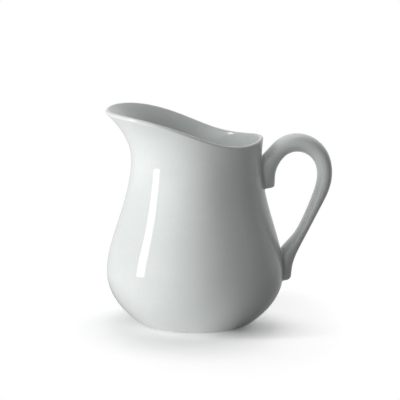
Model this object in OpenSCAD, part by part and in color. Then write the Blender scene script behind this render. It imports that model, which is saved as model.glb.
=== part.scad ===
// Porcelain cream jug: a pear-shaped, slip-cast body with a broad pouring lip
// opposite a loop handle. The handle is cast on its own and stuck on with slip
// before firing, so each end of it sits on a thin bed of joint slip that also
// forms the small fillet round it. Units are millimetres and +Z is up. The
// origin is the centre of the bearing ring on the table, the pouring lip faces
// -X and the handle +X.

/* [Body] */
// Outside diameter at the belly
belly_d = 82.8; // [79:0.2:86]
// Height of the widest part of the belly
belly_z = 25; // [23:0.5:28]
// Outside diameter the underside of the belly springs from at the table
spring_d = 52; // [51:0.5:55]
// Outside diameter of the neck at its narrowest
neck_d = 60.6; // [58:0.2:64]
// Height of the narrowest part of the neck
neck_z = 79; // [76:1:82]
// How far the mouth opens again at 20 mm above the neck
mouth_flare = 2; // [1:0.25:3]
// Wall thickness of the casting
wall_t = 2.8; // [2.2:0.1:3.4]
// Thickness of the rounded rim
lip_t = 2; // [1.8:0.1:2.8]

/* [Pouring lip and rim] */
// Height of the rim at the pouring lip
lip_z = 98.3; // [96:0.1:100]
// Height of the rim 45 degrees round from the pouring lip
cheek_z = 97.8; // [95:0.1:98]
// Height of the rim at the side
side_z = 89.9; // [88:0.1:92]
// Height of the rim 45 degrees round from the handle
dip_z = 85.5; // [84:0.1:87]
// Height of the rim over the handle
back_z = 87; // [86:0.1:89]
// How far the pouring lip flares out at 26 mm above the start of the flare
lip_flare = 11.5; // [7:0.5:14]
// Height at which the lip starts to flare
flare_z = 74; // [70:1:78]

/* [Foot] */
// Outside diameter of the flat bearing ring
foot_d = 49.6; // [46:0.2:51]
// Width of the flat, unglazed bearing ring
foot_w = 2.2; // [1.6:0.1:3]
// Depth of the recess inside the bearing ring
recess = 2; // [1:0.1:2.5]
// Thickness of the floor
floor_t = 3; // [2.4:0.1:4]

/* [Handle] */
// Distance of the loop's centre from the axis
loop_x = 46.6; // [45:0.1:49]
// Height of the loop's centre
loop_z = 72.8; // [71.5:0.1:73.5]
// Radius of the loop's outer edge
loop_r = 16.5; // [16:0.1:17.5]
// Thickness of the strap over the crown of the loop
crown_t = 8.5; // [7.5:0.1:9]
// Thickness of the strap at the outer side of the loop
side_t = 7; // [6:0.1:8]
// Thickness of the strap low down in the straight leg
leg_t = 4.6; // [4:0.1:6]
// Width of the strap, side to side
strap_w = 11.5; // [9:0.5:13]
// How much narrower the straight leg is than the loop
leg_slim = 1; // [0:0.25:2]
// Reach of the small turned-in foot at the top end
end_x = 36.8; // [36:0.1:37.5]
// Height of the underside of the turned-in foot
end_z = 63.8; // [63:0.1:65]
// Reach of the spur at the lower end
spur_x = 45.3; // [44.5:0.1:46.5]
// Height of the underside of the spur
spur_z = 19.6; // [18.5:0.1:21]

/* [Joints] */
// Thickness of the bed of slip under each end of the handle
lute_t = 0.5; // [0.3:0.1:0.7]
// Size of the fillet of slip round each end of the handle
fillet = 1; // [0.9:0.1:1.6]

/* [Hidden] */

glaze = [0.9, 0.92, 0.91];
slip = [0.84, 0.86, 0.85];

N = 72;        // sides round the body
UP = 28;       // levels from foot to rim
LIP = 7;       // steps over the rounded rim
M = 28;        // sides round the strap
ALONG = 40;    // steps along the strap

// Outside radius of the plain pear: full below the belly, an easy fall to the
// neck, then a slight opening to the mouth
belly_full = 2.3;
shoulder = 0.85;
function pear(z) =
    z < belly_z ? belly_d / 2 - (belly_d - spring_d) / 2 * pow((belly_z - z) / belly_z, belly_full)
    : z < neck_z ? belly_d / 2 - (belly_d - neck_d) / 4 * (1 - cos(180 * pow((z - belly_z) / (neck_z - belly_z), shoulder)))
    : neck_d / 2 + mouth_flare * pow((z - neck_z) / 20, 1.5);
// Stations of the smooth curve through the pear, from one pitch below the table
pitch = 4;
profile = [for (i = [-1:27]) let (z = pitch * i) pear(z) - (pear(z - pitch) - 2 * pear(z) + pear(z + pitch)) / 6];

// Smooth curve through the neighbourhood of evenly spaced stations
function bsp(c, t) =
    let (i = max(0, min(len(c) - 4, floor(t))), u = t - i)
    (pow(1 - u, 3) * c[i] + (3 * pow(u, 3) - 6 * u * u + 4) * c[i + 1]
    + (-3 * pow(u, 3) + 3 * u * u + 3 * u + 1) * c[i + 2] + pow(u, 3) * c[i + 3]) / 6;
function bez(a, b, c, t) = (1 - t) * (1 - t) * a + 2 * t * (1 - t) * b + t * t * c;
function unit(v) = v / norm(v);
function flat(l) = [for (r = l) for (p = r) p];
function back(l) = [for (i = [len(l) - 1:-1:0]) l[i]];

// Outside of the body: a is the angle round from the pouring lip
function swell(a, z) = z <= flare_z ? 0
    : lip_flare * pow((z - flare_z) / 26, 2.3) * (1 - pow((1 - cos(a)) / 2, 1.5));
function wall_r(a, z) = bsp(profile, z / pitch) + swell(a, z);
function skin(a, z, out = 0) = let (r = wall_r(a, z) + out) [-r * cos(a), -r * sin(a), z];
function skin_n(a, z) = unit(cross(skin(a + 0.5, z) - skin(a - 0.5, z), skin(a, z + 0.1) - skin(a, z - 0.1)));

// Rim line: the smooth wave through the five set heights, the same on both sides
rim_at = [lip_z, cheek_z, side_z, dip_z, back_z];
function rim_wave(k) = (k == 0 || k == 4 ? 0.25 : 0.5)
    * (rim_at[0] / 2 + rim_at[4] / 2 * cos(180 * k) + rim_at[1] * cos(45 * k) + rim_at[2] * cos(90 * k) + rim_at[3] * cos(135 * k));
rim_w = [for (k = [0:4]) rim_wave(k)];
rim_h = rim_w[0];    // mean height
function rim_z(a) = rim_w[0] + rim_w[1] * cos(a) + rim_w[2] * cos(2 * a) + rim_w[3] * cos(3 * a) + rim_w[4] * cos(4 * a);
function rim_up(a) = unit(cross(skin_n(a, rim_z(a)), skin(a + 1, rim_z(a + 1)) - skin(a - 1, rim_z(a - 1))));
function lip_pt(a, b) =
    let (n = skin_n(a, rim_z(a)), c = skin(a, rim_z(a)) - n * lip_t / 2)
    c + lip_t / 2 * (n * cos(b) + rim_up(a) * sin(b));

// Levels: even rings low down, following the rim line higher up
low_z = 1.4;
function level(k) = low_z + (rim_h - low_z) * pow(k / UP, 1.25);
function lvl_z(a, h) = h + (rim_z(a) - rim_h) * pow(max(h - 30, 0) / (rim_h - 30), 2);
function thick(h) = lip_t + (wall_t - lip_t) * min(1, (rim_h - h) / 20);
function out_pt(a, k) = skin(a, lvl_z(a, level(k)));
function in_pt(a, k) = let (h = level(k), z = lvl_z(a, h)) skin(a, z) - skin_n(a, z) * thick(h);

// Foot and floor, as radius and height
foot_r = foot_d / 2;
step = 0.4;    // the bearing ring stands this far below the glazed edge
floor_z = recess + floor_t;
KF = 4;        // lowest level of the inside that follows the outside
in_low = let (p = in_pt(180, KF)) [p[0], p[2]];
in_lower = let (p = in_pt(180, KF - 0.5)) [p[0], p[2]];
in_slope = (in_low[0] - in_lower[0]) / (in_low[1] - in_lower[1]);
in_knee = [in_low[0] - (in_low[1] - floor_z) * in_slope, floor_z];
function hoop(p) = [for (j = [0:N - 1]) let (a = 360 * j / N) [-p[0] * cos(a), -p[0] * sin(a), p[1]]];

body_rings = concat(
    [for (i = [0:4]) hoop(bez([foot_r - foot_w - 2.9, recess], [foot_r - foot_w - 0.6, recess], [foot_r - foot_w - 0.3, step], i / 4))],
    [for (i = [0:3]) hoop(bez([foot_r + 0.3, step], [foot_r + 1.6, step], [wall_r(0, low_z), low_z], i / 3))],
    [for (k = [1:UP]) [for (j = [0:N - 1]) out_pt(360 * j / N, k)]],
    [for (i = [1:LIP]) [for (j = [0:N - 1]) lip_pt(360 * j / N, 180 * i / LIP)]],
    [for (k = [UP - 1:-1:KF]) [for (j = [0:N - 1]) in_pt(360 * j / N, k)]],
    [for (i = [1:5]) hoop(bez(in_low, in_knee, [foot_r - 6, floor_z], i / 5))]
);

// Closed skin over a list of equal rings with a point at each end
function end_faces(n, m) = concat(
    [for (j = [0:m - 1]) [0, 1 + j, 1 + (j + 1) % m]],
    [for (k = [0:n - 2]) for (j = [0:m - 1]) for (f = [
        [1 + k * m + j, 1 + (k + 1) * m + j, 1 + (k + 1) * m + (j + 1) % m],
        [1 + k * m + j, 1 + (k + 1) * m + (j + 1) % m, 1 + k * m + (j + 1) % m]]) f],
    [for (j = [0:m - 1]) [1 + (n - 1) * m + j, 1 + n * m, 1 + (n - 1) * m + (j + 1) % m]]
);
module ringed(first, rings, last, flip = false) {
    f = end_faces(len(rings), len(rings[0]));
    polyhedron(points = concat([first], flat(rings), [last]), faces = flip ? [for (t = f) back(t)] : f, convexity = 8);
}

// Handle: each station has the outer edge's x and z, the inner edge's x and z and
// a change of width. It runs from inside the wall behind the turned-in foot, round
// the loop on a circle, straight down the leg, round the spur and into the belly.
ease = 1;            // how far the outer edge flattens where it runs into the neck
leg_top = [loop_x + 16.4, loop_z - 8.8];
leg_end = [spur_x + 1.6, spur_z + 12];
function loop_t(q) = q > 90 ? crown_t : side_t + (crown_t - side_t) * sin(q);
function loop_row(q) =
    let (k = (2 + cos(30)) / 3, o = (loop_r - ease * pow(max(q - 90, 0) / 60, 2)) / k, i = (loop_r - loop_t(q)) / k)
    [loop_x + o * cos(q), loop_z + o * sin(q), loop_x + i * cos(q), loop_z + i * sin(q), 0];
function leg_row(s) =
    let (run = leg_end - leg_top, n = [run[1], -run[0]] / norm(run), t = leg_t + (side_t - leg_t) * pow(1 - s, 3),
        o = leg_top + run * s, i = o + n * t)
    [o[0], o[1], i[0], i[1], -leg_slim];
strap = concat(
    [[22, end_z - 4, 24, end_z, 0],
    [22, end_z - 2, 30, end_z, 0],
    [23, end_z + 1, end_x - 1, end_z, 0],
    [24, end_z + 5, end_x, end_z + 0.7, 0],
    [26, end_z + 9, end_x - 0.2, end_z + 4.5, 0],
    [29, end_z + 13.5, end_x + 0.2, end_z + 8.5, 0]],
    [for (q = [150:-30:0]) loop_row(q)],
    [for (s = [0:0.25:0.75]) leg_row(s)],
    [[leg_end[0], leg_end[1], leg_end[0] - 5.6, leg_end[1] + 5.1, 0],
    [spur_x, spur_z + 6, 38.5, spur_z + 12.5, 0],
    [spur_x + 0.2, spur_z + 1, 36, spur_z + 8, 0],
    [spur_x - 2.1, spur_z, 34, spur_z + 3, -0.5],
    [38, spur_z, 32, spur_z + 1, -1.5],
    [33, spur_z, 31, spur_z + 0.4, -2.5]]
);
function bulge(c) = sign(c) * pow(abs(c), 2 / 2.3);
function strap_pt(t, q) =
    let (r = bsp(strap, t), o = [r[0], 0, r[1]], i = [r[2], 0, r[3]])
    (o + i) / 2 + (o - i) / 2 * bulge(cos(q)) + [0, (strap_w + r[4]) / 2 * bulge(sin(q)), 0];
function round_of(p) = atan2(-p[1], -p[0]);
function stand_off(p) = norm([p[0], p[1]]) - wall_r(round_of(p), p[2]);
// Where a line of the strap comes within g of the wall; a is inside, b outside
function reach_t(q, g, a, b, n = 24) =
    let (m = (a + b) / 2)
    n == 0 ? m : stand_off(strap_pt(m, q)) > g ? reach_t(q, g, a, m, n - 1) : reach_t(q, g, m, b, n - 1);
function on_wall(p, g) = skin(round_of(p), p[2], g);
TOP = 0;
LOW = len(strap) - 3;
MID = LOW / 2;
function foot_ring(e, g) = [for (j = [0:M - 1]) let (q = 360 * j / M) strap_pt(reach_t(q, g, e, MID), q)];
function middle(ring) = let (z = [for (p = ring) p[2]]) [1, 0, (min(z) + max(z)) / 2];
function shrink(ring, f, g) = let (c = on_wall(middle(ring), g)) [for (p = ring) on_wall(c + (p - c) * f, g)];
function ends(e) =
    let (r = foot_ring(e, lute_t))
    [shrink(r, 1 / 3, lute_t), shrink(r, 2 / 3, lute_t), r, foot_ring(e, (lute_t + fillet) / 2), foot_ring(e, fillet)];
top_end = ends(TOP);
low_end = ends(LOW);
strap_rings = concat(
    top_end,
    [for (i = [1:ALONG - 1]) [for (j = [0:M - 1])
        let (q = 360 * j / M, a = reach_t(q, fillet, TOP, MID), b = reach_t(q, fillet, LOW, MID))
        strap_pt(a + (b - a) * i / ALONG, q)]],
    back(low_end)
);
top_mid = on_wall(middle(top_end[2]), lute_t);
low_mid = on_wall(middle(low_end[2]), lute_t);

// Slip fillet from the side of the strap, down to the wall and back under it
function toe(e) =
    let (r = foot_ring(e, 0), c = skin(180, middle(r)[2]))
    [for (j = [0:M - 1])
        let (p = r[j], t = r[(j + 1) % M] - r[(j + M - 1) % M], n = skin_n(round_of(p), p[2]),
            d = unit(cross(t, n)), s = d * (p - c) < 0 ? -1 : 1)
        on_wall(p + d * s * fillet, 0)];
function lute_rings(end, e) =
    let (c = foot_ring(e, 0), w = toe(e))
    concat(
        end,
        [for (i = [1:3]) [for (j = [0:M - 1]) let (p = bez(end[4][j], c[j], w[j], i / 3))
            i == 3 ? on_wall(p, 0.15) : on_wall(p, max(0.15, stand_off(p)))]],
        [shrink(w, 1, -0.6), shrink(w, 0.6, -0.6), shrink(w, 0.3, -0.6)]
    );
function under(end) = on_wall(middle(end[2]), -0.6);

// The piece of the body's outer skin that a lute lies on
module wall_patch(k0, k1, j0, j1) {
    w = j1 - j0 + 1;
    n = (k1 - k0 + 1) * w;
    o = [for (k = [k0:k1]) for (j = [j0:j1]) out_pt(360 * j / N, k)];
    i = [for (k = [k0:k1]) for (j = [j0:j1]) skin(360 * j / N, lvl_z(360 * j / N, level(k)), -1.6)];
    h = k1 - k0;
    faces = concat(
        [for (k = [0:h - 1]) for (j = [0:w - 2]) for (f = [
            [k * w + j, (k + 1) * w + j, (k + 1) * w + j + 1],
            [k * w + j, (k + 1) * w + j + 1, k * w + j + 1]]) f],
        [for (k = [0:h - 1]) for (j = [0:w - 2]) for (f = [
            [n + k * w + j, n + (k + 1) * w + j + 1, n + (k + 1) * w + j],
            [n + k * w + j, n + k * w + j + 1, n + (k + 1) * w + j + 1]]) f],
        [for (j = [0:w - 2]) for (f = [[j, j + 1, n + j + 1], [j, n + j + 1, n + j]]) f],
        [for (j = [0:w - 2]) for (f = [[h * w + j, n + h * w + j, n + h * w + j + 1], [h * w + j, n + h * w + j + 1, h * w + j + 1]]) f],
        [for (k = [0:h - 1]) for (f = [[k * w, n + k * w, n + (k + 1) * w], [k * w, n + (k + 1) * w, (k + 1) * w]]) f],
        [for (k = [0:h - 1]) for (f = [[k * w + w - 1, (k + 1) * w + w - 1, n + (k + 1) * w + w - 1], [k * w + w - 1, n + (k + 1) * w + w - 1, n + k * w + w - 1]]) f]
    );
    polyhedron(points = concat(o, i), faces = faces, convexity = 4);
}

module jug_body() {
    color(glaze) union() {
        ringed([0, 0, recess], body_rings, [0, 0, floor_z]);
        rotate_extrude($fn = 144) translate([foot_r - foot_w, 0]) square([foot_w, 1.2]);
    }
}

module handle() {
    color(glaze) ringed(top_mid, strap_rings, low_mid, flip = true);
}

module upper_lute() {
    color(slip) difference() {
        ringed(top_mid, lute_rings(top_end, TOP), under(top_end));
        wall_patch(18, 27, 30, 42);
    }
}

module lower_lute() {
    color(slip) difference() {
        ringed(under(low_end), back(lute_rings(low_end, LOW)), low_mid);
        wall_patch(4, 15, 31, 41);
    }
}

jug_body();
handle();
upper_lute();
lower_lute();
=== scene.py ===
import math
import bpy
import numpy as np
from mathutils import Matrix, Vector


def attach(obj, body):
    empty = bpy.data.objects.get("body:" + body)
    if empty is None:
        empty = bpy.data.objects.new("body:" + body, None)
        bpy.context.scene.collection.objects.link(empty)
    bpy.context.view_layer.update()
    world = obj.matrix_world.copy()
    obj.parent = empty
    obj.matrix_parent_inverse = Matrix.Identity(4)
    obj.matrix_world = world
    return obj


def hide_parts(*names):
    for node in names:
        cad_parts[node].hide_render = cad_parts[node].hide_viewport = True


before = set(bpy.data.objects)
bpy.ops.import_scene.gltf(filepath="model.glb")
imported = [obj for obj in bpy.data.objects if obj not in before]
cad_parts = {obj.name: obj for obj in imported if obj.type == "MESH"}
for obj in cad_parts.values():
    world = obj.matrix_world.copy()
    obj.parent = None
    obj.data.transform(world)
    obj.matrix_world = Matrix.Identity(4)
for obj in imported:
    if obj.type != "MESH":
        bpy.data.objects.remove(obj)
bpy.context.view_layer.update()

MM = 0.001

# ---------------------------------------------------------------- design, in millimetres
BELLY_D, BELLY_Z, BELLY_FULL = 82.8, 25.0, 2.3
SPRING_D = 52.0
NECK_D, NECK_Z, SHOULDER = 60.6, 79.0, 0.85
MOUTH_FLARE = 2.0
RIM_AT = np.array([98.3, 97.8, 89.9, 85.5, 87.0])
LIP_FLARE, FLARE_Z = 11.5, 74.0
WALL_T, LIP_T = 2.8, 2.0
FOOT_R, FOOT_W, RECESS, FLOOR_T, STEP = 24.8, 2.2, 2.0, 3.0, 0.4
STRAP_W, LEG_SLIM, LUTE_T, FILLET = 11.5, 1.0, 0.5, 1.0
LOOP_X, LOOP_Z, LOOP_R, EASE = 46.6, 72.8, 16.5, 1.0
CROWN_T, SIDE_T, LEG_T = 8.5, 7.0, 4.6
LEG_TOP, LEG_END = (63.0, 64.0), (46.9, 31.6)
END_X, END_Z = 36.8, 63.8
SPUR_X, SPUR_Z = 45.3, 19.6
PITCH = 4.0


def pear(z):
    """Outside radius of the plain pear: full below the belly, an easy fall to the neck, then a slight opening."""
    if z < BELLY_Z:
        return BELLY_D / 2 - (BELLY_D - SPRING_D) / 2 * ((BELLY_Z - z) / BELLY_Z) ** BELLY_FULL
    if z < NECK_Z:
        return BELLY_D / 2 - (BELLY_D - NECK_D) / 4 * (1 - math.cos(math.pi * ((z - BELLY_Z) / (NECK_Z - BELLY_Z)) ** SHOULDER))
    return NECK_D / 2 + MOUTH_FLARE * ((z - NECK_Z) / 20) ** 1.5


PROFILE = np.array([pear(z) - (pear(z - PITCH) - 2 * pear(z) + pear(z + PITCH)) / 6 for z in (PITCH * i for i in range(-1, 28))])


def loop_t(q):
    return CROWN_T if q > 90 else SIDE_T + (CROWN_T - SIDE_T) * math.sin(math.radians(q))


def loop_row(q):
    k = (2 + math.cos(math.radians(30))) / 3
    c, s = math.cos(math.radians(q)), math.sin(math.radians(q))
    o, i = (LOOP_R - EASE * (max(q - 90, 0) / 60) ** 2) / k, (LOOP_R - loop_t(q)) / k
    return [LOOP_X + o * c, LOOP_Z + o * s, LOOP_X + i * c, LOOP_Z + i * s, 0]


def leg_row(s):
    run = np.subtract(LEG_END, LEG_TOP)
    n = np.array([run[1], -run[0]]) / np.hypot(*run)
    t = LEG_T + (SIDE_T - LEG_T) * (1 - s) ** 3
    o = np.array(LEG_TOP) + run * s
    return [*o, *(o + n * t), -LEG_SLIM]


STRAP = np.array(
    [[22, END_Z - 4, 24, END_Z, 0], [22, END_Z - 2, 30, END_Z, 0], [23, END_Z + 1, END_X - 1, END_Z, 0],
     [24, END_Z + 5, END_X, END_Z + 0.7, 0], [26, END_Z + 9, END_X - 0.2, END_Z + 4.5, 0], [29, END_Z + 13.5, END_X + 0.2, END_Z + 8.5, 0]]
    + [loop_row(q) for q in (150, 120, 90, 60, 30, 0)]
    + [leg_row(s) for s in (0, 0.25, 0.5, 0.75)]
    + [[*LEG_END, LEG_END[0] - 5.6, LEG_END[1] + 5.1, 0], [SPUR_X, SPUR_Z + 6, 38.5, SPUR_Z + 12.5, 0],
       [SPUR_X + 0.2, SPUR_Z + 1, 36, SPUR_Z + 8, 0], [SPUR_X - 2.1, SPUR_Z, 34, SPUR_Z + 3, -0.5],
       [38, SPUR_Z, 32, SPUR_Z + 1, -1.5], [33, SPUR_Z, 31, SPUR_Z + 0.4, -2.5]])


def bsp(c, t):
    t = np.asarray(t, float)
    i = np.clip(np.floor(t).astype(int), 0, len(c) - 4)
    u = t - i
    if c.ndim == 2:
        u = u[..., None]
    return ((1 - u) ** 3 * c[i] + (3 * u ** 3 - 6 * u * u + 4) * c[i + 1]
            + (-3 * u ** 3 + 3 * u * u + 3 * u + 1) * c[i + 2] + u ** 3 * c[i + 3]) / 6


def bez(a, b, c, t):
    a, b, c = (np.asarray(q, float) for q in (a, b, c))
    return (1 - t) ** 2 * a + 2 * t * (1 - t) * b + t * t * c


def unit(v):
    return v / np.maximum(np.linalg.norm(v, axis=-1, keepdims=True), 1e-12)


# ---------------------------------------------------------------- the body's outside; a is in radians from the lip
def swell(a, z):
    s = np.maximum(z - FLARE_Z, 0) / 26
    return LIP_FLARE * s ** 2.3 * (1 - ((1 - np.cos(a)) / 2) ** 1.5)


def wall_r(a, z):
    return bsp(PROFILE, z / PITCH) + swell(a, z)


def skin(a, z, out=0.0):
    a, z = np.broadcast_arrays(np.asarray(a, float), np.asarray(z, float))
    r = wall_r(a, z) + out
    return np.stack([-r * np.cos(a), -r * np.sin(a), z], -1)


def skin_n(a, z):
    h = 0.004
    return unit(np.cross(skin(a + h, z) - skin(a - h, z), skin(a, z + 0.05) - skin(a, z - 0.05)))


def rim_wave(k):
    """Share of the k-th cosine in the rim line that passes through the five set heights."""
    w = np.array([0.5, 1, 1, 1, 0.5])
    return (0.5 if k in (0, 4) else 1.0) / 2 * float((w * RIM_AT * np.cos(np.arange(5) * k * math.pi / 4)).sum())


RIM_W = [rim_wave(k) for k in range(5)]
RIM_H = RIM_W[0]


def rim_z(a):
    return sum(w * np.cos(k * a) for k, w in enumerate(RIM_W))


def lip_pt(a, b):
    z = rim_z(a)
    n = skin_n(a, z)
    h = 0.01
    up = unit(np.cross(n, skin(a + h, rim_z(a + h)) - skin(a - h, rim_z(a - h))))
    return skin(a, z) - n * LIP_T / 2 + LIP_T / 2 * (n * math.cos(b) + up * math.sin(b))


LOW_Z = 1.4


def level(k):
    return LOW_Z + (RIM_H - LOW_Z) * k ** 1.25


def lvl_z(a, h):
    return h + (rim_z(a) - RIM_H) * (max(h - 30, 0) / (RIM_H - 30)) ** 2


def thick(h):
    return LIP_T + (WALL_T - LIP_T) * min(1, (RIM_H - h) / 20)


def in_pt(a, h):
    z = lvl_z(a, h)
    return skin(a, z) - skin_n(a, z) * thick(h)


# ---------------------------------------------------------------- the handle
TOP, LOW = 0.0, float(len(STRAP) - 3)
MID = LOW / 2


def bulge(c):
    return np.sign(c) * np.abs(c) ** (2 / 2.3)


def strap_pt(t, q):
    t, q = np.broadcast_arrays(np.asarray(t, float), np.asarray(q, float))
    r = bsp(STRAP, t)
    o = np.stack([r[..., 0], 0 * t, r[..., 1]], -1)
    i = np.stack([r[..., 2], 0 * t, r[..., 3]], -1)
    p = (o + i) / 2 + (o - i) / 2 * bulge(np.cos(q))[..., None]
    p[..., 1] += (STRAP_W + r[..., 4]) / 2 * bulge(np.sin(q))
    return p


def round_of(p):
    return np.arctan2(-p[..., 1], -p[..., 0])


def stand_off(p):
    return np.hypot(p[..., 0], p[..., 1]) - wall_r(round_of(p), p[..., 2])


def on_wall(p, g):
    return skin(round_of(p), p[..., 2], g)


def reach_t(q, g, end):
    a = np.full(q.shape, end)
    b = np.full(q.shape, MID)
    for _ in range(40):
        m = (a + b) / 2
        out = stand_off(strap_pt(m, q)) > g
        b = np.where(out, m, b)
        a = np.where(out, a, m)
    return (a + b) / 2


# ---------------------------------------------------------------- meshes
def add_mesh(name, verts, faces, mats, index=None):
    me = bpy.data.meshes.new(name)
    me.from_pydata([tuple(map(float, v)) for v in np.asarray(verts) * MM], [], [tuple(map(int, f)) for f in faces])
    me.update()
    for m in mats:
        me.materials.append(m)
    me.polygons.foreach_set("use_smooth", [True] * len(me.polygons))
    if index is not None:
        me.polygons.foreach_set("material_index", index)
    me.validate()
    ob = bpy.data.objects.new(name, me)
    bpy.context.scene.collection.objects.link(ob)
    return ob


def ringed(first, rings, last, flip=False):
    """A closed skin over equal rings, with a point at each end (or None to leave that end open)."""
    m = len(rings[0])
    v = []
    f = []
    if first is not None:
        v.append(np.asarray(first, float)[None])
    base = 1 if first is not None else 0
    v += [np.asarray(r) for r in rings]
    n = len(rings)
    if first is not None:
        f += [(0, base + j, base + (j + 1) % m) for j in range(m)]
    ring_of = [0] * (m if first is not None else 0)
    for k in range(n - 1):
        for j in range(m):
            a, b = base + k * m + j, base + k * m + (j + 1) % m
            f.append((a, a + m, b + m, b))
        ring_of += [k] * m
    if last is not None:
        v.append(np.asarray(last, float)[None])
        t = base + n * m
        f += [(base + (n - 1) * m + j, t, base + (n - 1) * m + (j + 1) % m) for j in range(m)]
        ring_of += [n - 1] * m
    # the rings run anticlockwise seen from above and climb outside, so the outward face is the reverse
    f = [tuple(reversed(q)) for q in f] if not flip else f
    return np.concatenate(v), f, ring_of


def around(n):
    return np.arange(n) * 2 * math.pi / n


def hoop(p, n):
    a = around(n)
    return np.stack([-p[0] * np.cos(a), -p[0] * np.sin(a), np.full(n, float(p[1]))], -1)


def body_mesh():
    n = 216
    a = around(n)
    rings, part = [], []

    def put(r, kind):
        rings.append(r)
        part.append(kind)

    ri = FOOT_R - FOOT_W
    # glazed recess, then its turned edge
    for r in np.linspace(2, ri - 3.1, 8):
        put(hoop((r, RECESS), n), 0)
    for t in np.linspace(0, 1, 9):
        put(hoop(bez((ri - 2.9, RECESS), (ri - 0.6, RECESS), (ri - 0.3, STEP + 0.05), t), n), 0)
    # the unglazed bearing ring stands a little proud of the glaze line on both sides
    for r, z in ((ri - 0.22, STEP + 0.02), (ri - 0.1, STEP + 0.1), (ri, STEP), (ri + 0.03, 0.14), (ri + 0.1, 0.04), (ri + 0.24, 0.0),
                 (ri + FOOT_W / 2, 0.0), (FOOT_R - 0.24, 0.0), (FOOT_R - 0.1, 0.04), (FOOT_R - 0.03, 0.14), (FOOT_R, STEP), (FOOT_R + 0.1, STEP + 0.1)):
        put(hoop((r, z), n), 1)
    for t in np.linspace(0, 1, 9):
        put(hoop(bez((FOOT_R + 0.3, STEP), (FOOT_R + 1.6, STEP), (wall_r(0, LOW_Z), LOW_Z), t), n), 0)
    up = 128
    for k in range(1, up + 1):
        h = level(k / up)
        put(skin(a, lvl_z(a, h)), 0)
    for i in range(1, 17):
        put(lip_pt(a, math.pi * i / 16), 0)
    kf = 4 / 28
    hs = [level(k / up) for k in range(up - 1, 0, -1) if k / up > kf]
    for h in hs:
        put(in_pt(a, h), 0)
    p0 = in_pt(np.array([math.pi]), level(kf))[0]
    p1 = in_pt(np.array([math.pi]), level(kf - 0.5 / 28))[0]
    fz = RECESS + FLOOR_T
    slope = (p0[0] - p1[0]) / (p0[2] - p1[2])
    knee = (p0[0] - (p0[2] - fz) * slope, fz)
    for t in np.linspace(0, 1, 22):
        put(hoop(bez((p0[0], p0[2]), knee, (FOOT_R - 6, fz), t), n), 0)
    for r in (17, 14, 11, 8, 5, 2):
        put(hoop((r, fz), n), 0)
    v, f, ring = ringed((0, 0, RECESS), rings, (0, 0, fz))
    kind = [1 if part[k] == 1 and part[min(k + 1, len(part) - 1)] == 1 else 0 for k in ring]
    return v, f, kind


NQ = 80
Q = around(NQ)


def cap(ring, g):
    """Rings from the middle of the bedding face out to its edge."""
    z = ring[:, 2]
    c = on_wall(np.array([1.0, 0.0, (z.min() + z.max()) / 2]), g)
    return c, [on_wall(c + (ring - c) * s, g) for s in (0.2, 0.4, 0.6, 0.8)]


def handle_mesh():
    top = strap_pt(reach_t(Q, LUTE_T, TOP), Q)
    low = strap_pt(reach_t(Q, LUTE_T, LOW), Q)
    ta, tb = reach_t(Q, LUTE_T, TOP), reach_t(Q, LUTE_T, LOW)
    rings = []
    ct, inner = cap(top, LUTE_T)
    rings += inner
    n = 300
    for i in range(n + 1):
        s = i / n
        rings.append(strap_pt(ta + (tb - ta) * s, Q))
    cl, inner = cap(low, LUTE_T)
    rings += inner[::-1]
    v, f, _ = ringed(ct, rings, cl, flip=True)
    return v, f


def lute_mesh(end):
    """The bed of slip under one end of the strap and its hollow fillet, feathered out on the wall."""
    bed = strap_pt(reach_t(Q, LUTE_T, end), Q)
    side = [strap_pt(reach_t(Q, g, end), Q) for g in np.linspace(LUTE_T, FILLET, 5)[1:]]
    corner = strap_pt(reach_t(Q, 0.0, end), Q)
    z = corner[:, 2]
    c = skin(math.pi, (z.min() + z.max()) / 2)
    t = np.roll(corner, -1, 0) - np.roll(corner, 1, 0)
    n = skin_n(round_of(corner), corner[:, 2])
    d = unit(np.cross(t, n))
    s = np.where((d * (corner - c)).sum(-1) < 0, -1.0, 1.0)[:, None]
    toe = on_wall(corner + d * s * FILLET, 0.02)
    cc, inner = cap(bed, LUTE_T)
    rings = inner + [bed] + side
    for u in np.linspace(0, 1, 13)[1:]:
        p = bez(side[-1], corner, toe, u)
        rings.append(on_wall(p, np.maximum(stand_off(p), 0.02)))
    rings.append(on_wall(toe, -0.25))
    cb, inner = cap(toe, -0.25)
    rings += inner[::-1]
    v, f, _ = ringed(cc, rings, cb, flip=(end == TOP))
    return v, f


# ---------------------------------------------------------------- materials
def new_mat(name):
    m = bpy.data.materials.new(name)
    m.use_nodes = True
    nt = m.node_tree
    nt.nodes.clear()
    out = nt.nodes.new("ShaderNodeOutputMaterial")
    b = nt.nodes.new("ShaderNodeBsdfPrincipled")
    nt.links.new(b.outputs["BSDF"], out.inputs["Surface"])
    return m, nt, b


def node(nt, kind, **values):
    n = nt.nodes.new(kind)
    for k, v in values.items():
        if hasattr(n, k):
            setattr(n, k, v)
        else:
            n.inputs[k].default_value = v
    return n


def coords(nt, scale):
    tc = nt.nodes.new("ShaderNodeTexCoord")
    mp = nt.nodes.new("ShaderNodeMapping")
    mp.inputs["Scale"].default_value = scale
    nt.links.new(tc.outputs["Object"], mp.inputs["Vector"])
    return mp.outputs["Vector"]


def noise(nt, vec, scale, detail=2.0, rough=0.5):
    n = nt.nodes.new("ShaderNodeTexNoise")
    n.inputs["Scale"].default_value = scale
    n.inputs["Detail"].default_value = detail
    n.inputs["Roughness"].default_value = rough
    nt.links.new(vec, n.inputs["Vector"])
    return n.outputs["Fac"]


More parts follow.
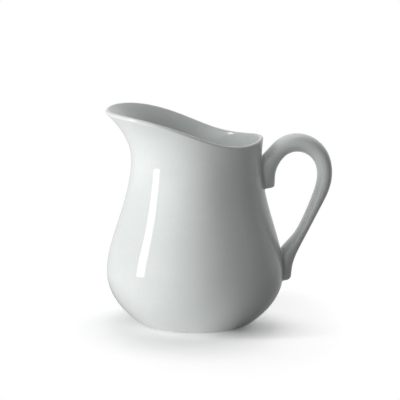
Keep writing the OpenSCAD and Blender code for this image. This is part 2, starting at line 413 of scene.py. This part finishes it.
def ramp(nt, fac, stops):
    r = nt.nodes.new("ShaderNodeValToRGB")
    el = r.color_ramp.elements
    while len(el) < len(stops):
        el.new(0.5)
    for e, (p, c) in zip(el, stops):
        e.position = p
        e.color = (*c, 1) if len(c) == 3 else c
    nt.links.new(fac, r.inputs["Fac"])
    return r.outputs["Color"]


def mix(nt, fac, a, b, mode="MIX"):
    n = nt.nodes.new("ShaderNodeMix")
    n.data_type = "RGBA"
    n.blend_type = mode
    for sock, v in ((n.inputs[0], fac), (n.inputs[6], a), (n.inputs[7], b)):
        if isinstance(v, bpy.types.NodeSocket):
            nt.links.new(v, sock)
        elif isinstance(v, (int, float)):
            sock.default_value = v
        else:
            sock.default_value = (*v, 1)
    return n.outputs[2]


def math_node(nt, op, a, b=0.0, c=0.0):
    n = nt.nodes.new("ShaderNodeMath")
    n.operation = op
    for sock, v in zip(n.inputs, (a, b, c)):
        if isinstance(v, bpy.types.NodeSocket):
            nt.links.new(v, sock)
        else:
            sock.default_value = v
    return n.outputs[0]


def porcelain(name, light, dark, wave=1.0):
    """Glazed white porcelain: a faintly uneven body colour under a glassy, slightly wavy glaze with a rare pinhole."""
    m, nt, b = new_mat(name)
    vec = coords(nt, (1, 1, 1))
    # broad tone: the glaze gathers a little unevenly
    cloud = noise(nt, vec, 38, 3, 0.55)
    col = ramp(nt, cloud, [(0.36, dark), (0.64, light)])
    # fine grain of the body showing through the glaze
    grain = noise(nt, vec, 900, 2, 0.6)
    col = mix(nt, 0.35, col, ramp(nt, grain, [(0.4, tuple(c * 0.985 for c in dark)), (0.6, light)]))
    # rare iron specks and pinholes
    vo = nt.nodes.new("ShaderNodeTexVoronoi")
    vo.inputs["Scale"].default_value = 150
    vo.inputs["Randomness"].default_value = 1.0
    nt.links.new(vec, vo.inputs["Vector"])
    near = math_node(nt, "LESS_THAN", vo.outputs["Distance"], 0.022)
    sep = nt.nodes.new("ShaderNodeSeparateColor")
    nt.links.new(vo.outputs["Color"], sep.inputs["Color"])
    rare = math_node(nt, "GREATER_THAN", sep.outputs["Red"], 0.985)
    speck = math_node(nt, "MULTIPLY", near, rare)
    col = mix(nt, math_node(nt, "MULTIPLY", speck, 0.6), col, (0.16, 0.15, 0.14))
    nt.links.new(col, b.inputs["Base Color"])
    # gloss: mirror-like, with slight dulling in patches
    rgh = nt.nodes.new("ShaderNodeMapRange")
    rgh.inputs["From Min"].default_value = 0.35
    rgh.inputs["From Max"].default_value = 0.7
    rgh.inputs["To Min"].default_value = 0.045
    rgh.inputs["To Max"].default_value = 0.085
    nt.links.new(noise(nt, vec, 120, 3, 0.6), rgh.inputs["Value"])
    nt.links.new(rgh.outputs["Result"], b.inputs["Roughness"])
    b.inputs["IOR"].default_value = 1.52
    b.inputs["Subsurface Weight"].default_value = 0.06
    b.inputs["Subsurface Radius"].default_value = (1.0, 0.9, 0.8)
    b.inputs["Subsurface Scale"].default_value = 0.0015
    # surface: long soft waves of a hand-fettled casting, then a trace of orange peel
    long_wave = noise(nt, coords(nt, (1, 1, 0.6)), 46, 1, 0.4)
    peel = noise(nt, vec, 620, 1, 0.4)
    h = math_node(nt, "ADD", math_node(nt, "MULTIPLY", long_wave, 1.0), math_node(nt, "MULTIPLY", peel, 0.012))
    bump = nt.nodes.new("ShaderNodeBump")
    bump.inputs["Strength"].default_value = 0.25 * wave
    bump.inputs["Distance"].default_value = 0.0006
    nt.links.new(h, bump.inputs["Height"])
    nt.links.new(bump.outputs["Normal"], b.inputs["Normal"])
    return m


def bisque(name):
    """Unglazed, fired porcelain of the bearing ring: matt, faintly warm, finely rubbed."""
    m, nt, b = new_mat(name)
    vec = coords(nt, (1, 1, 1))
    col = ramp(nt, noise(nt, vec, 260, 4, 0.65), [(0.3, (0.60, 0.57, 0.52)), (0.55, (0.74, 0.72, 0.68)), (0.75, (0.80, 0.79, 0.76))])
    rub = ramp(nt, noise(nt, vec, 90, 2, 0.5), [(0.55, (1, 1, 1)), (0.75, (0.86, 0.84, 0.80))])
    nt.links.new(mix(nt, 1.0, col, rub, "MULTIPLY"), b.inputs["Base Color"])
    rg = nt.nodes.new("ShaderNodeMapRange")
    rg.inputs["To Min"].default_value = 0.7
    rg.inputs["To Max"].default_value = 0.9
    nt.links.new(noise(nt, vec, 500, 2, 0.5), rg.inputs["Value"])
    nt.links.new(rg.outputs["Result"], b.inputs["Roughness"])
    bump = nt.nodes.new("ShaderNodeBump")
    bump.inputs["Strength"].default_value = 0.5
    bump.inputs["Distance"].default_value = 0.0001
    nt.links.new(noise(nt, vec, 1500, 2, 0.6), bump.inputs["Height"])
    nt.links.new(bump.outputs["Normal"], b.inputs["Normal"])
    return m


WHITE, WHITE_D = (0.80, 0.835, 0.825), (0.765, 0.805, 0.795)
glaze_body = porcelain("glazed_porcelain_body", WHITE, WHITE_D)
glaze_handle = porcelain("glazed_porcelain_handle", WHITE, WHITE_D, 0.7)
# the joint glaze is a little darker than the body's: painted shade in the creases where the strap meets the wall
glaze_joint_painted_shade = porcelain("glazed_porcelain_joint_painted_shade", (0.77, 0.81, 0.80), (0.73, 0.775, 0.765), 0.5)
foot_mat = bisque("unglazed_foot_ring")

# ---------------------------------------------------------------- pieces
v, f, kind = body_mesh()
body = add_mesh("cream_jug_body", v, f, [glaze_body, foot_mat], kind)
v, f = handle_mesh()
handle = add_mesh("cream_jug_handle", v, f, [glaze_handle])
v, f = lute_mesh(TOP)
upper = add_mesh("slip_joint_upper", v, f, [glaze_joint_painted_shade])
v, f = lute_mesh(LOW)
lower = add_mesh("slip_joint_lower", v, f, [glaze_joint_painted_shade])
for piece, cad, slot in ((body, "jug_body", "porcelain_body"), (handle, "handle", "porcelain_handle"),
                         (upper, "upper_lute", "slip_joint"), (lower, "lower_lute", "slip_joint")):
    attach(piece, "root")
    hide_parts(cad)

# ---------------------------------------------------------------- studio
def heading_turn(nt, x, y):
    """Heading of a direction as 0 to 1: 0.5 is towards the camera side (-Y), and it grows towards the handle (+X)."""
    az = math_node(nt, "ARCTAN2", x, math_node(nt, "MULTIPLY", y, -1.0))
    return math_node(nt, "ADD", math_node(nt, "DIVIDE", az, 2 * math.pi), 0.5)


def round_ramp(nt, turn, table):
    """A ring of brightness by heading in degrees; the ends of the ring meet."""
    table = table + [(180, table[0][1])]
    return ramp(nt, turn, [((d + 180) / 360, c if isinstance(c, tuple) else (c, c, c)) for d, c in table])


def blend_range(nt, value, lo, hi):
    n = nt.nodes.new("ShaderNodeMapRange")
    n.inputs["From Min"].default_value = lo
    n.inputs["From Max"].default_value = hi
    nt.links.new(value, n.inputs["Value"])
    return n.outputs["Result"]


# a big soft source by the lip, almost none by the handle, and some from behind
LOW_RING = [(-180, 0.76), (-150, 0.57), (-120, 0.4), (-100, 0.55), (-80, 1.1), (-60, 1.65), (-40, 1.7), (-20, 1.15), (0, 0.6),
            (20, 0.2), (40, 0.0), (71, 0.0), (73.5, (0.5, 0.3, 0.2)), (76, 0.0), (98, 0.0), (120, 0.43), (150, 0.72)]
MID_RING = [(-180, 0.9), (-150, 0.4), (-120, 0.05), (-100, 0.1), (-80, 0.7), (-60, 1.4), (-40, 1.45), (-20, 0.9), (0, 0.37),
            (20, 0.08), (40, 0.0), (71, 0.0), (73.5, (0.4, 0.24, 0.16)), (76, 0.0), (98, 0.1), (120, 0.72), (150, 1.05)]
TOP_RING = [(-180, 1.25), (-135, 0.76), (-90, 0.32), (-45, 0.2), (0, 0.0), (45, 0.0), (90, 0.4), (135, 1.1)]
# what the table throws back on the jug, close to the foot and further out; little of it on the handle side
NEAR_TABLE = [(-180, 0.37), (-135, 0.32), (-90, 0.43), (-45, 0.74), (0, 0.64), (45, 0.06), (90, 0.23), (135, 0.39)]
FAR_TABLE = [(-180, 0.7), (-135, 0.65), (-90, 0.7), (-45, 1.0), (0, 0.55), (45, 0.0), (90, 0.1), (135, 0.6)]
PAPER = 1.6
# painted shadow on the paper close to the foot, by heading: deeper on the lip side, with painted light lifting the
# paper on the handle side
FOOT_PAINTED_SHADOW = [(-180, 0.9), (-90, 0.66), (-45, 0.7), (-10, 0.8), (20, 0.98), (45, 1.25), (90, 1.35), (135, 1.1)]

floor_me = bpy.data.meshes.new("studio_floor")
floor_me.from_pydata([(-6, -6, 0), (6, -6, 0), (6, 6, 0), (-6, 6, 0)], [], [(0, 1, 2, 3)])
floor = bpy.data.objects.new("studio_floor", floor_me)
bpy.context.scene.collection.objects.link(floor)
fm = bpy.data.materials.new("studio_paper")
fm.use_nodes = True
nt = fm.node_tree
nt.nodes.clear()
out = nt.nodes.new("ShaderNodeOutputMaterial")
pick = nt.nodes.new("ShaderNodeMixShader")
paper = nt.nodes.new("ShaderNodeBsdfDiffuse")
throw = nt.nodes.new("ShaderNodeEmission")
lp = nt.nodes.new("ShaderNodeLightPath")
ftc = nt.nodes.new("ShaderNodeTexCoord")
fsx = nt.nodes.new("ShaderNodeSeparateXYZ")
nt.links.new(ftc.outputs["Object"], fsx.inputs[0])
fturn = heading_turn(nt, fsx.outputs["X"], fsx.outputs["Y"])
far = nt.nodes.new("ShaderNodeVectorMath")
far.operation = "LENGTH"
nt.links.new(ftc.outputs["Object"], far.inputs[0])
thrown = mix(nt, blend_range(nt, far.outputs["Value"], 0.06, 0.12), round_ramp(nt, fturn, NEAR_TABLE), round_ramp(nt, fturn, FAR_TABLE))
nt.links.new(thrown, throw.inputs["Color"])
# painted shadow and painted light: the paper's colour near the foot is scaled by heading, fading out to plain paper by
# 78 mm
shade = mix(nt, blend_range(nt, far.outputs["Value"], 0.03, 0.078), round_ramp(nt, fturn, FOOT_PAINTED_SHADOW), (1.0, 1.0, 1.0))
nt.links.new(mix(nt, 1.0, shade, (PAPER, PAPER, PAPER), "MULTIPLY"), paper.inputs["Color"])
# the paper washes out to pure white away from the jug, sooner to the sides than in front
oval = nt.nodes.new("ShaderNodeVectorMath")
oval.operation = "MULTIPLY"
oval.inputs[1].default_value = (1.0, 0.6, 1.0)
nt.links.new(ftc.outputs["Object"], oval.inputs[0])
away = nt.nodes.new("ShaderNodeVectorMath")
away.operation = "LENGTH"
nt.links.new(oval.outputs[0], away.inputs[0])
white = nt.nodes.new("ShaderNodeEmission")
wash = nt.nodes.new("ShaderNodeMixShader")
nt.links.new(blend_range(nt, away.outputs["Value"], 0.036, 0.070), wash.inputs[0])
nt.links.new(paper.outputs[0], wash.inputs[1])
nt.links.new(white.outputs[0], wash.inputs[2])
nt.links.new(lp.outputs["Is Camera Ray"], pick.inputs[0])
nt.links.new(throw.outputs[0], pick.inputs[1])
nt.links.new(wash.outputs[0], pick.inputs[2])
nt.links.new(pick.outputs[0], out.inputs["Surface"])
floor_me.materials.append(fm)

world = bpy.data.worlds.new("studio")
bpy.context.scene.world = world
world.use_nodes = True
wn = world.node_tree
wn.nodes.clear()
wo = wn.nodes.new("ShaderNodeOutputWorld")
tc = wn.nodes.new("ShaderNodeTexCoord")
sx = wn.nodes.new("ShaderNodeSeparateXYZ")
wn.links.new(tc.outputs["Generated"], sx.inputs[0])
turn = heading_turn(wn, sx.outputs["X"], sx.outputs["Y"])
sky = mix(wn, blend_range(wn, sx.outputs["Z"], 0.05, 0.35), round_ramp(wn, turn, LOW_RING), round_ramp(wn, turn, MID_RING))
sky = mix(wn, blend_range(wn, sx.outputs["Z"], 0.35, 0.75), sky, round_ramp(wn, turn, TOP_RING))
lpw = wn.nodes.new("ShaderNodeLightPath")
seen = mix(wn, lpw.outputs["Is Camera Ray"], sky, (1.0, 1.0, 1.0))
bg = wn.nodes.new("ShaderNodeBackground")
bg.inputs["Strength"].default_value = 1.0
wn.links.new(seen, bg.inputs["Color"])
wn.links.new(bg.outputs["Background"], wo.inputs["Surface"])


def area(name, at, look, size, power, color=(1, 1, 1)):
    d = bpy.data.lights.new(name, "AREA")
    d.shape = "RECTANGLE"
    d.size, d.size_y = size
    d.energy = power
    d.color = color
    o = bpy.data.objects.new(name, d)
    o.location = at
    o.rotation_euler = (Vector(look) - Vector(at)).to_track_quat("-Z", "Y").to_euler()
    bpy.context.scene.collection.objects.link(o)
    o.visible_camera = False
    return o


def heading(deg, dist, z):
    a = math.radians(deg)
    return (dist * math.sin(a), -dist * math.cos(a), z)


# tall strip softbox beside the pouring lip, standing on the table
STRIP_AZ, STRIP_D, STRIP_W, STRIP_H, STRIP_P = -75.0, 0.5, 0.1, 0.5, 1.3
area("strip_softbox", heading(STRIP_AZ, STRIP_D, 0.004 + STRIP_H / 2), heading(STRIP_AZ, 0.0, 0.004 + STRIP_H / 2), (STRIP_W, STRIP_H), STRIP_P)

# ---------------------------------------------------------------- camera
PHI, ELEV, DIST, FPX = math.radians(3.2), math.radians(10.8), 0.9, 2.14 * 900
ROLL, CX, CY = math.radians(0.75), 195.31, 215.65
fwd = Vector((math.sin(PHI) * math.cos(ELEV), math.cos(PHI) * math.cos(ELEV), -math.sin(ELEV)))
right0 = Vector((math.cos(PHI), -math.sin(PHI), 0))
up0 = right0.cross(fwd)
R = math.cos(ROLL) * right0 + math.sin(ROLL) * up0
U = -math.sin(ROLL) * right0 + math.cos(ROLL) * up0
cam_at = Vector((0, 0, 0.05)) - fwd * DIST
look = (fwd * FPX + R * (199.5 - CX) + U * (CY - 199.5)).normalized()
R = (R - look * R.dot(look)).normalized()
U = R.cross(look)
cd = bpy.data.cameras.new("camera")
cd.sensor_width = 36
cd.lens = 36 * FPX / 400
cd.clip_start, cd.clip_end = 0.05, 50
cam = bpy.data.objects.new("camera", cd)
cam.matrix_world = Matrix(((R.x, U.x, -look.x, cam_at.x), (R.y, U.y, -look.y, cam_at.y), (R.z, U.z, -look.z, cam_at.z), (0, 0, 0, 1)))
bpy.context.scene.collection.objects.link(cam)
bpy.context.scene.camera = cam
bpy.context.scene.view_settings.view_transform = "Standard"
